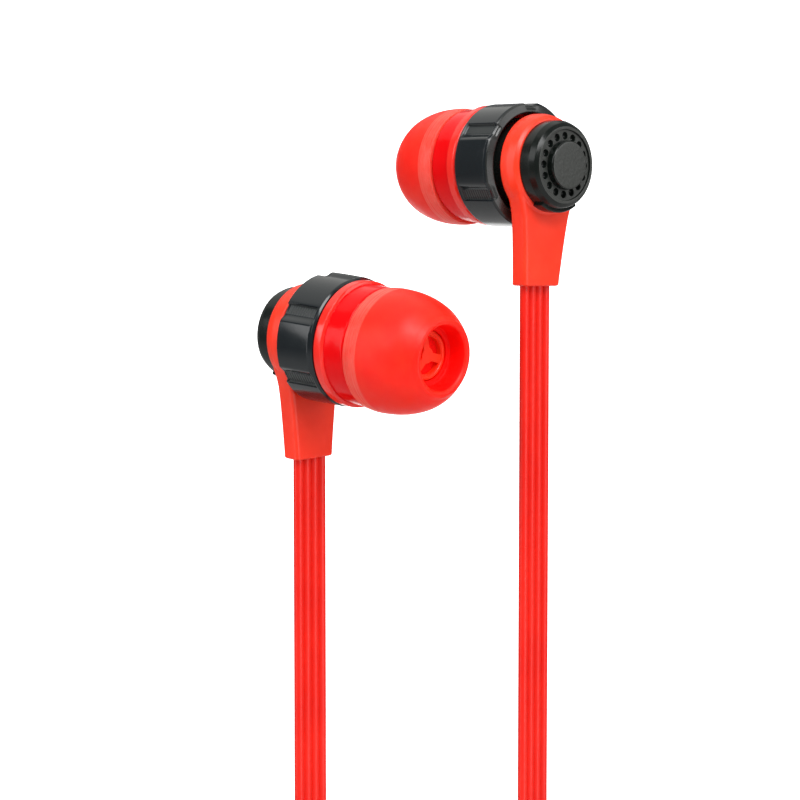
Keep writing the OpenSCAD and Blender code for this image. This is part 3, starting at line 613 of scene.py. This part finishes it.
def relief_profile(grooves=6, pitch=1.55, flare=0.045, deep=0.28):
    """The soft sleeve over the cable's end, which widens down to the grip."""
    out = [(0, 2.2), (-0.15, 2.35)]
    for i in range(grooves):
        z = -1.1 - pitch * i
        r = 2.45 + flare * i
        out += [(z, r), (z - 0.12, r - deep), (z - 0.5, r - deep), (z - 0.62, r + 0.03)]
    out += [(-11.2, 2.85), (-11.9, 3.05), (-12, 3.0)]
    return out


def grip_profile(grooves=7, pitch=1.6):
    """The plug's hard body, with grooves to hold it by."""
    out = [(-12, 3.3), (-12.15, 3.55), (-12.5, 3.7), (-16, 3.68)]
    for i in range(grooves):
        z = -17.5 - pitch * i
        out += [(z, 3.66), (z - 0.15, 3.48), (z - 0.55, 3.48), (z - 0.7, 3.66)]
    out += [(-30.5, 3.68), (-33.2, 3.6), (-33.8, 3.2), (-34, 2.8)]
    return out


relief = plug_part("plug_relief_sleeve", relief_profile(), RUBBER)
grip = plug_part("plug_grip_body", grip_profile(), BLACK_GLOSS)
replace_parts(relief, "plug_relief")
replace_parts(grip, "plug_grip")


# ---------------------------------------------------------------- ear tip
SAG, SAG_FROM, SAG_OVER = 0.12, 3.6, 1.2  # how low, from which radius and over how much of it
RIM_END, RIM_R = 16.2, 5.8  # the skirt's outer side lies before this station and beyond this radius
RIM_LINES = ((14.12, 0.035), (14.42, 0.02), (14.95, 0.035), (15.3, 0.02), (15.62, 0.012))  # station, depth
RIM_LINE_HALF = 0.07
FINE = 0.035  # the length of a profile's edges where it carries relief
# The parts of a piece that get a second material: from and to a station, least and greatest radius. The rim
# band's lighter colour is painted light shining through the thin skirt; the bore's deeper red is painted
# shade.
TIP_RIM_PAINTED_LIGHT_BAND = (13.0, 15.6, 5.6)
TIP_BORE_PAINTED_SHADE_BAND = (15.4, 21.4, 0.0, 3.24)


def tip_profile():
    """The dome, the crest ring round the mouth, the bore and the hollow skirt, with the rim's fine lines."""
    outer = through([(13.93, 6.1), (14.8, 6.2), (16, 6.17), (17.2, 6.04), (18.4, 5.76), (19.6, 5.31),
                     (20.5, 4.76), (21.0, 4.36), (21.24, 4.1), (21.4, 3.98), (21.58, 3.84), (21.67, 3.64),
                     (21.62, 3.42), (21.45, 3.26), (21.1, 3.16), (20.6, 3.1), (20.0, 3.05)], 90)
    back = rounded([(20.0, 3.03), (19.72, 2.96, 0.1), (19.7, 2.5, 0.05), (15.35, 2.5, 0.1),
                    (15.35, 3.05, 0.15), (18.4, 3.08, 0.5), (18.9, 3.7, 0.6), (18.5, 4.7, 0.8),
                    (17.4, 5.3, 1.0), (16, 5.52, 1.0), (14.8, 5.58), (13.87, 5.62, 0.05), (13.85, 5.8, 0.06),
                    (13.87, 6.02, 0.05)], 5)
    fine = subdivided(np.vstack([outer, back[1:]]), lambda a, b: (
        cuts(np.linalg.norm(b - a), FINE) if a[0] < RIM_END and a[1] > RIM_R else 1))
    for at, deep in RIM_LINES:
        line = deep * np.exp(-((fine[:, 0] - at) / RIM_LINE_HALF) ** 2)
        fine[:, 1] -= np.where(fine[:, 1] > RIM_R + 0.1, line, 0)
    return fine


def sag(obj, side):
    """The soft outer skin hangs a little low on its sleeve."""
    m = PLACE[side]
    back = m.inverted()
    for v in obj.data.vertices:
        p = back @ (v.co / MM)
        p.z -= SAG * rise(math.hypot(p.y, p.z), SAG_FROM, SAG_OVER)
        v.co = (m @ p) * MM


# ---------------------------------------------------------------- front housing
LIP_BAND = (9.0, 11.24, 0.0)
NOZZLE_BAND = (18.3, 20.0, 1.9)


def barrel_profile():
    """The spigot in the collar, the lip, the clear barrel, the nozzle with its bead, and both bores."""
    return rounded([(7.4, 4.95), (7.4, 5.45), (10.05, 5.45), (10.05, 6.0), (10.05, 6.2, 0.1),
                    (10.25, 6.33, 0.15), (11.1, 6.33, 0.12), (11.22, 6.12, 0.1), (11.25, 5.99, 0.06),
                    (12.4, 5.99), (13.65, 5.96, 0.3), (13.95, 5.48, 0.3), (14.6, 5.3, 0.3), (14.75, 4.4, 0.3),
                    (14.75, 2.8, 0.3), (15.1, 2.26, 0.2), (18.3, 2.25, 0.1), (18.5, 2.45, 0.08),
                    (19.4, 2.45, 0.12), (19.62, 2.3, 0.06), (19.62, 2.08, 0.05), (19.55, 2.02, 0.04),
                    (18.8, 2.0), (18.8, 1.65), (12.05, 1.65), (12.05, 4.95), (7.4, 4.95)], 6)[:-1]


GUARD_FRONT, GUARD_REAR, GUARD_RIM = 19.5, 19.0, 2.06
GUARD_SPOKES, HALF_GAP = (15.0, 135.0, 255.0), 60  # degrees
GUARD_HUB, GUARD_OPEN, SPOKE_HALF = 0.78, 1.9, 0.4


def window(mid):
    """The outline of one opening between two spokes, as (y, z) points with its corners rounded off."""
    def reach(r):
        return math.radians(HALF_GAP) - math.asin(SPOKE_HALF / r)

    def at(r, angle):
        return (r * math.sin(angle), r * math.cos(angle))

    def corner(r, side, rad):
        return (*at(r, mid + side * reach(r)), rad)

    arc = [at(GUARD_OPEN, mid + t * reach(GUARD_OPEN)) for t in np.linspace(-0.86, 0.86, 9)]
    inner = [at(GUARD_HUB, mid + t) for t in (0.42, 0.0, -0.42)]
    path = [corner(GUARD_OPEN, -1, 0.14)] + arc + [corner(GUARD_OPEN, 1, 0.14)]
    path += [corner(GUARD_HUB, 1, 0.1)] + inner + [corner(GUARD_HUB, -1, 0.1)]
    return rounded([path[-1]] + path + [path[0]], 4)[1:-1]


def from_lowest(face):
    """The same face, told from its lowest index."""
    k = face.index(min(face))
    return tuple(face[k:] + face[:k])


def guard(side):
    """The three-spoke guard across the nozzle's mouth, its points and faces in the same order each run."""
    around = np.linspace(0, 2 * math.pi, 72, endpoint=False)
    circle = [(GUARD_RIM * math.sin(a), GUARD_RIM * math.cos(a)) for a in around]
    bm = bmesh.new()
    edges = []
    for loop in [circle] + [window(math.radians(a + HALF_GAP)) for a in GUARD_SPOKES]:
        vs = [bm.verts.new((GUARD_FRONT, y, z)) for y, z in loop]
        edges += [bm.edges.new((vs[i], vs[(i + 1) % len(vs)])) for i in range(len(vs))]
    bmesh.ops.triangle_fill(bm, use_beauty=True, use_dissolve=False, edges=edges)
    got = bmesh.ops.extrude_face_region(bm, geom=list(bm.faces))
    for v in [g for g in got["geom"] if isinstance(g, bmesh.types.BMVert)]:
        v.co.x = GUARD_REAR
    bmesh.ops.recalc_face_normals(bm, faces=bm.faces)
    order = sorted(bm.verts, key=lambda v: tuple(v.co))
    for i, v in enumerate(order):
        v.index = i
    pts = [tuple(v.co) for v in order]
    faces = flip(side, sorted(from_lowest([v.index for v in f.verts]) for f in bm.faces))
    bm.free()
    return make(f"{side}_nozzle_guard", set_on(side, pts), faces, RED, sharp=35)


# ---------------------------------------------------------------- collar
LAND_MID = {"right": (88.0, 212.0, 329.5), "left": (91.5, 209.0, 331.5)}  # degrees round the barrel
LAND_HALF, LAND_RISE, LAND_CROWN = 20.0, 0.13, 0.03
LAND_FROM, LAND_TO, LAND_CENTRE = 5.3, 9.55, 7.6
FILLET_END, STRIP_END = 9.0, 18.0  # degrees beside a land
STRIP_DEEP, STRIP_SILL, STRIP_FROM, STRIP_TO, STRIP_OPEN = 0.34, 0.08, 5.5, 9.35, 9.45
RIDGE_DEEP, RIDGE_PITCH = 0.03, 0.33
GRAIN_FROM, GRAIN_TO, GRAIN_R = 5.6, 9.4, 6.2  # where the strips have the fine finish
SATIN_TO = 5.3  # the rear edge, before this station, is satin
COLLAR_STEPS, COLLAR_FINE, COLLAR_FINE_R = 600, 0.06, 6.1


def beside_land(side, angle):
    """How far a direction lies outside its nearest raised land, in degrees."""
    deg = np.degrees(angle)
    return np.min([np.abs((deg - m + 180) % 360 - 180) for m in LAND_MID[side]], axis=0) - LAND_HALF


def collar(side):
    """The black ring: three raised lands, each with a hollow fillet and a finely ridged strip beside it."""
    base = rounded([(5.25, 5.5), (4.98, 5.5, 0.04), (4.98, 5.62, 0.05), (5.2, 6.3, 0.1), (5.42, 6.47, 0.08),
                    (9.75, 6.43, 0.1), (9.97, 6.27, 0.08), (9.97, 5.5, 0.05), (9.7, 5.5)], 5)
    fine = subdivided(base, lambda a, b: (
        cuts(abs(b[0] - a[0]), COLLAR_FINE) if min(a[1], b[1]) > COLLAR_FINE_R else 3))

    def shape(s, r, a):
        away = beside_land(side, a)
        land = 1 - smooth((away + 0.5) / FILLET_END)
        low = smooth((away - STRIP_END + 0.3) / 0.7)
        out = rise(r, 5.75, 0.45)
        body = rise(s, LAND_FROM, 0.14) * (1 - rise(s, LAND_TO, 0.2))
        floor = rise(s, STRIP_FROM, 0.12) * (1 - rise(s, STRIP_TO, 0.12))
        crown = LAND_CROWN * (1 - ((s - LAND_CENTRE) / 2.2) ** 2)
        ridges = RIDGE_DEEP * np.sin(s * 2 * math.pi / RIDGE_PITCH) * smooth((away - FILLET_END + 2) / 1.5)
        deep = (STRIP_DEEP - STRIP_SILL) + (STRIP_SILL - ridges) * floor
        deep = deep * (1 - rise(s, STRIP_OPEN, 0.12))
        return s, r + out * ((LAND_RISE + crown) * land * body - deep * (1 - land) * (1 - low))

    obj = lathe("collar_ring", side, fine, BLACK_GLOSS, steps=COLLAR_STEPS,
                sharp=45, r_of=shape)
    obj.data.materials.append(BLACK_FINE)
    obj.data.materials.append(BLACK_SATIN)
    angles = np.linspace(0, 2 * math.pi, COLLAR_STEPS, endpoint=False)
    away = beside_land(side, angles + math.pi / COLLAR_STEPS)
    on_strip = [int(v) for v in (away > FILLET_END - 0.5) & (away < STRIP_END)]
    index = []
    for s, r in (fine + np.roll(fine, -1, axis=0)) / 2:
        if GRAIN_FROM < s < GRAIN_TO and r > GRAIN_R:
            index += on_strip
        else:
            index += [2 if s < SATIN_TO else 0] * COLLAR_STEPS
    obj.data.polygons.foreach_set("material_index", index)
    return obj


# ---------------------------------------------------------------- rear housing
DISC_STEPS = 192
STEM_X, STEM_LEAN, STEM_HALF_T, STEM_CORNER, STEM_ARC = 3.19, 3.5, 1.05, 0.42, 7
STEM_HALF_W = ((-2.0, 4.2), (-3.2, 4.02), (-4.1, 3.66), (-5.0, 3.38), (-6.0, 3.2), (-7.5, 3.0),
               (-10.0, 2.73), (-12.0, 2.55), (-12.43, 2.53))  # height, half width
SKIN_VOXEL, SKIN_ROUNDS, SKIN_LOSS = 0.085, 4, 0.08
# Painted shade: the red neck inside the collar gets a black finish, so the groove between the disc and the
# collar reads as dark.
NECK_PAINTED_SHADE_BAND = (4.42, 8.0, 0.0, 4.72)


def remeshed(obj, voxel, rounds):
    """Joins overlapping solids into one skin whose inside corners flow, as in one moulding."""
    bpy.context.view_layer.objects.active = obj
    mod = obj.modifiers.new("remesh", "REMESH")
    mod.mode = "VOXEL"
    mod.voxel_size = voxel * MM
    mod.use_smooth_shade = True
    mod = obj.modifiers.new("ease", "SMOOTH")
    mod.factor = 0.5
    mod.iterations = rounds
    deps = bpy.context.evaluated_depsgraph_get()
    mesh = bpy.data.meshes.new_from_object(obj.evaluated_get(deps))
    obj.modifiers.clear()
    old = obj.data
    obj.data = mesh
    bpy.data.meshes.remove(old)
    return obj


def rear_shell(side):
    """The red disc, its neck and the leaning flat stem."""
    disc = rounded([(2.12, 0.0), (2.12, 4.76, 0.1), (2.5, 5.1, 0.35), (3.3, 5.3, 0.6), (4.3, 5.3, 0.12),
                    (4.3, 4.6, 0.2), (7.3, 4.6), (7.3, 0.0)], 7)
    pts = list(ring_points(disc, DISC_STEPS))
    faces = grid_faces(len(disc), DISC_STEPS)
    first = len(pts)
    lean = math.tan(math.radians(STEM_LEAN))
    rows = [(z, w, 0.0) for z, w in through(STEM_HALF_W, 40)]
    rows += [(-12.4, rows[-1][1], 0.06), (-12.5, rows[-1][1], 0.2)]
    for z, w, inset in rows:
        rad = STEM_CORNER - inset
        for sx, sy, a0 in ((1, 1, 0), (-1, 1, 90), (-1, -1, 180), (1, -1, 270)):
            for a in map(math.radians, np.linspace(a0, a0 + 90, STEM_ARC)):
                x = sx * (STEM_HALF_T - STEM_CORNER) + rad * math.cos(a)
                y = sy * (w + SKIN_LOSS - STEM_CORNER) + rad * math.sin(a)
                pts.append((STEM_X - lean * z + x, y, z))
    faces += [tuple(first + k for k in f) for f in capped_faces(len(rows), 4 * STEM_ARC)]
    obj = make(f"{side}_rear_shell", set_on(side, pts), flip(side, faces), RED,
               sharp=None)
    return remeshed(obj, SKIN_VOXEL, SKIN_ROUNDS)


# ---------------------------------------------------------------- rear cap
DIMPLES, DIMPLE_RING, DIMPLE_R, DIMPLE_DEEP = 16, 3.0, 0.38, 0.5
CHANNEL_FLOOR, CHANNEL_IN, CHANNEL_OUT = 0.24, 2.3, 3.6  # its station, and its radii
CAP_STEPS = 960
KEY_HALF, KEY_STEPS = 31, 60  # degrees to each side of straight down
CHANNEL_BAND = (CHANNEL_FLOOR - 0.03, CHANNEL_FLOOR + 0.03, CHANNEL_IN, CHANNEL_OUT)
CAP_FACE_BAND = (-0.05, 0.03, 3.64)
BUTTON_SIDE_BAND = (-0.56, 1.0, 2.3)


def cap_rim(side):
    """The cap's body: the channel with its ring of bowls, the face round it and the bevelled side."""
    prof = rounded([(CHANNEL_FLOOR, CHANNEL_IN), (CHANNEL_FLOOR, CHANNEL_OUT, 0.04), (0.0, 3.66, 0.06),
                    (0.0, 3.93, 0.07), (0.3, 4.32, 0.25), (0.9, 4.58, 0.1), (2.12, 4.6),
                    (2.12, CHANNEL_IN)], 5)
    fine = subdivided(prof, lambda a, b: (
        cuts(np.linalg.norm(b - a), FINE) if a[1] < CHANNEL_OUT + 0.1 and a[0] > CHANNEL_FLOOR - 0.04 else 2))

    def shape(s, r, a):
        step = 2 * math.pi / DIMPLES
        off = (a + step / 2) % step - step / 2
        dist = np.sqrt(np.maximum(r * r + DIMPLE_RING ** 2 - 2 * r * DIMPLE_RING * np.cos(off), 0))
        bowl = np.sqrt(np.maximum(1 - (dist / DIMPLE_R) ** 2, 0))
        return s + DIMPLE_DEEP * bowl * (s > CHANNEL_FLOOR - 0.05), r

    body = lathe("cap_rim", side, fine, BLACK_CAP, steps=CAP_STEPS, sharp=50,
                 r_of=shape)
    second_finish_or_painted_light(body, side, BLACK_GRAIN, *CHANNEL_BAND)
    second_finish_or_painted_light(body, side, BLACK_GRAIN, *CAP_FACE_BAND)
    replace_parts(body, f"{side}_rear_cap")


def cap_key(side):
    """The raised key along the bottom of the cap's side."""
    section = rounded([(0.8, 4.4), (0.8, 4.76, 0.12), (0.92, 4.88, 0.1), (2.1, 4.88), (2.1, 4.4)], 4)
    pts = []
    for i in range(KEY_STEPS + 1):
        a = math.pi + math.radians(-KEY_HALF + 2 * KEY_HALF * i / KEY_STEPS)
        pts += [(s, r * math.sin(a), r * math.cos(a)) for s, r in section]
    faces = flip(side, capped_faces(KEY_STEPS + 1, len(section)))
    key = make(f"{side}_cap_key", set_on(side, pts), faces, BLACK_CAP, sharp=35)
    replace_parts(key, f"{side}_rear_cap")


def cap_disc(side):
    """The raised button in the middle of the cap."""
    prof = rounded([(-0.6, 0.8), (-0.6, 2.5, 0.3), (0.6, 2.52)], 9)
    obj = lathe("cap_button", side, prof, BLACK_GRAIN, steps=160, loop=False)
    second_finish_or_painted_light(obj, side, BLACK_CAP, *BUTTON_SIDE_BAND)
    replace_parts(obj, f"{side}_cap_disc")


for side in ("right", "left"):
    tip = lathe("silicone_tip", side, tip_profile(), SILICONE, body=f"{side}_ear_tip_body",
                steps=200)
    sag(tip, side)
    # Painted light: the rim band gets a lighter colour for light shining through the skirt.
    second_finish_or_painted_light(tip, side, SILICONE_RIM_PAINTED_LIGHT, *TIP_RIM_PAINTED_LIGHT_BAND)
    # Painted shade: the bore's faces get a deeper red.
    second_finish_or_painted_light(tip, side, SILICONE_BORE_PAINTED_SHADE, *TIP_BORE_PAINTED_SHADE_BAND)
    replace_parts(tip, f"{side}_ear_tip")
    barrel = lathe("front_barrel", side, barrel_profile(), CLEAR_RED, steps=200)
    second_finish_or_painted_light(barrel, side, LIP_RED, *LIP_BAND)
    second_finish_or_painted_light(barrel, side, RED, *NOZZLE_BAND)
    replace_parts(barrel, f"{side}_front_housing")
    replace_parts(guard(side), f"{side}_front_housing")
    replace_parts(collar(side), f"{side}_collar")
    shell = rear_shell(side)
    # Painted shade: the neck in the groove is made black.
    second_finish_or_painted_light(shell, side, BLACK_SATIN, *NECK_PAINTED_SHADE_BAND)
    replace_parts(shell, f"{side}_rear_housing")
    cap_rim(side)
    cap_key(side)
    cap_disc(side)

# ---------------------------------------------------------------- materials of the carried-over nodes
EARPIECE_MATERIAL = {
    "nozzle_filter": FILTER, "driver_frame": BLACK_SATIN, "yoke": STEEL, "magnet": STEEL,
    "pole_plate": STEEL, "voice_coil": COPPER, "diaphragm": FILM, "surround": FILM,
    "driver_cover": MESH_METAL, "damper": PAPER, "solder_board": BOARD, "inner_wires": COPPER,
    "cable_crimp": STEEL}
NODE_MATERIAL = {f"{side}_{piece}": mat for side in ("right", "left")
                 for piece, mat in EARPIECE_MATERIAL.items()}
NODE_MATERIAL.update({"plug_sleeve": GOLD, "plug_ring": GOLD, "plug_tip": GOLD, "plug_insulators": RUBBER})
for name, mat in NODE_MATERIAL.items():
    nodes[name].data.materials.clear()
    nodes[name].data.materials.append(mat)

# ---------------------------------------------------------------- stage and light, in metres
UP = Vector((0, 0, 1))
LOOK = (AIM - EYE).normalized()
SIDE = LOOK.cross(UP).normalized()
AWAY = Vector((LOOK.x, LOOK.y, 0)).normalized()
WHITE = material("backdrop_white", (0.92, 0.92, 0.92), 0.9)
shader(WHITE).inputs["Emission Color"].default_value = (1, 1, 1, 1)
shader(WHITE).inputs["Emission Strength"].default_value = 0.95
PALE = material("floor_pale", (0.62, 0.62, 0.62), 0.9)
FLOOR_Z, FLOOR_START, FLOOR_END, FLOOR_HALF = -0.27, -1.3, 0.5, 1.3
WALL_AT, WALL_TOP, WALL_HALF, BEND = 0.95, 0.14, 0.32, 0.2


def sheet(name, profile, half_width, mat):
    """A sheet of the studio: (distance behind the object, height) pairs carried across the view."""
    across = Vector((AWAY.y, -AWAY.x, 0))
    pts = [AWAY * d + across * w + UP * z for d, z in profile for w in (-half_width, half_width)]
    faces = [(2 * i, 2 * i + 1, 2 * i + 3, 2 * i + 2) for i in range(len(profile) - 1)]
    mesh = bpy.data.meshes.new(name)
    mesh.from_pydata([tuple(p) for p in pts], [], faces)
    mesh.polygons.foreach_set("use_smooth", [True] * len(faces))
    mesh.materials.append(mat)
    obj = bpy.data.objects.new(name, mesh)
    bpy.context.collection.objects.link(obj)


sheet("floor", [(FLOOR_START, FLOOR_Z), (FLOOR_END, FLOOR_Z)], FLOOR_HALF, PALE)
bend = [(WALL_AT - BEND + BEND * math.sin(a), FLOOR_Z + BEND - BEND * math.cos(a))
        for a in np.linspace(0.1, math.pi / 2, 12)]
sheet("backdrop", [(FLOOR_END, FLOOR_Z), (WALL_AT - BEND, FLOOR_Z)] + bend + [(WALL_AT, WALL_TOP)],
      WALL_HALF, WHITE)

# Each light's name, place as the camera sees it (right, up and away from the aim), size, watts and colour
LIGHTS = (
    ("top", (-0.08, 0.6, 0.22), (1.0, 0.8), 1.9, (1.0, 0.99, 0.94)),
    ("key", (0.12, 0.6, -0.55), (0.5, 0.4), 6.5, (1, 1, 1)),
    ("left", (-0.62, 0.05, -0.2), (0.16, 0.6), 1.0, (1, 1, 1)),
    ("right", (0.6, 0.28, -0.12), (0.5, 0.36), 1.4, (1, 1, 1)),
    ("low", (0.5, -0.1, -0.38), (0.35, 0.35), 0.95, (1, 1, 1)),
    ("front", (-0.5, 0.35, -0.45), (0.5, 0.4), 1.9, (1, 1, 1)))


def softbox(name, place, size, watts, color):
    """A rectangular light that faces the aim."""
    right, up, away = place
    at = AIM + SIDE * right + UP * up + AWAY * away
    light = bpy.data.lights.new(name, "AREA")
    light.shape = "RECTANGLE"
    light.size, light.size_y = size
    light.energy = watts
    light.color = color
    obj = bpy.data.objects.new(name, light)
    obj.location = at
    obj.rotation_euler = (AIM - at).to_track_quat("-Z", "Z").to_euler()
    bpy.context.collection.objects.link(obj)


for row in LIGHTS:
    softbox(*row)

world = bpy.data.worlds.new("studio")
world.use_nodes = True
background = world.node_tree.nodes["Background"]
background.inputs["Color"].default_value = (1, 1, 1, 1)
background.inputs["Strength"].default_value = 0.22
bpy.context.scene.world = world
bpy.context.scene.view_settings.view_transform = "Standard"
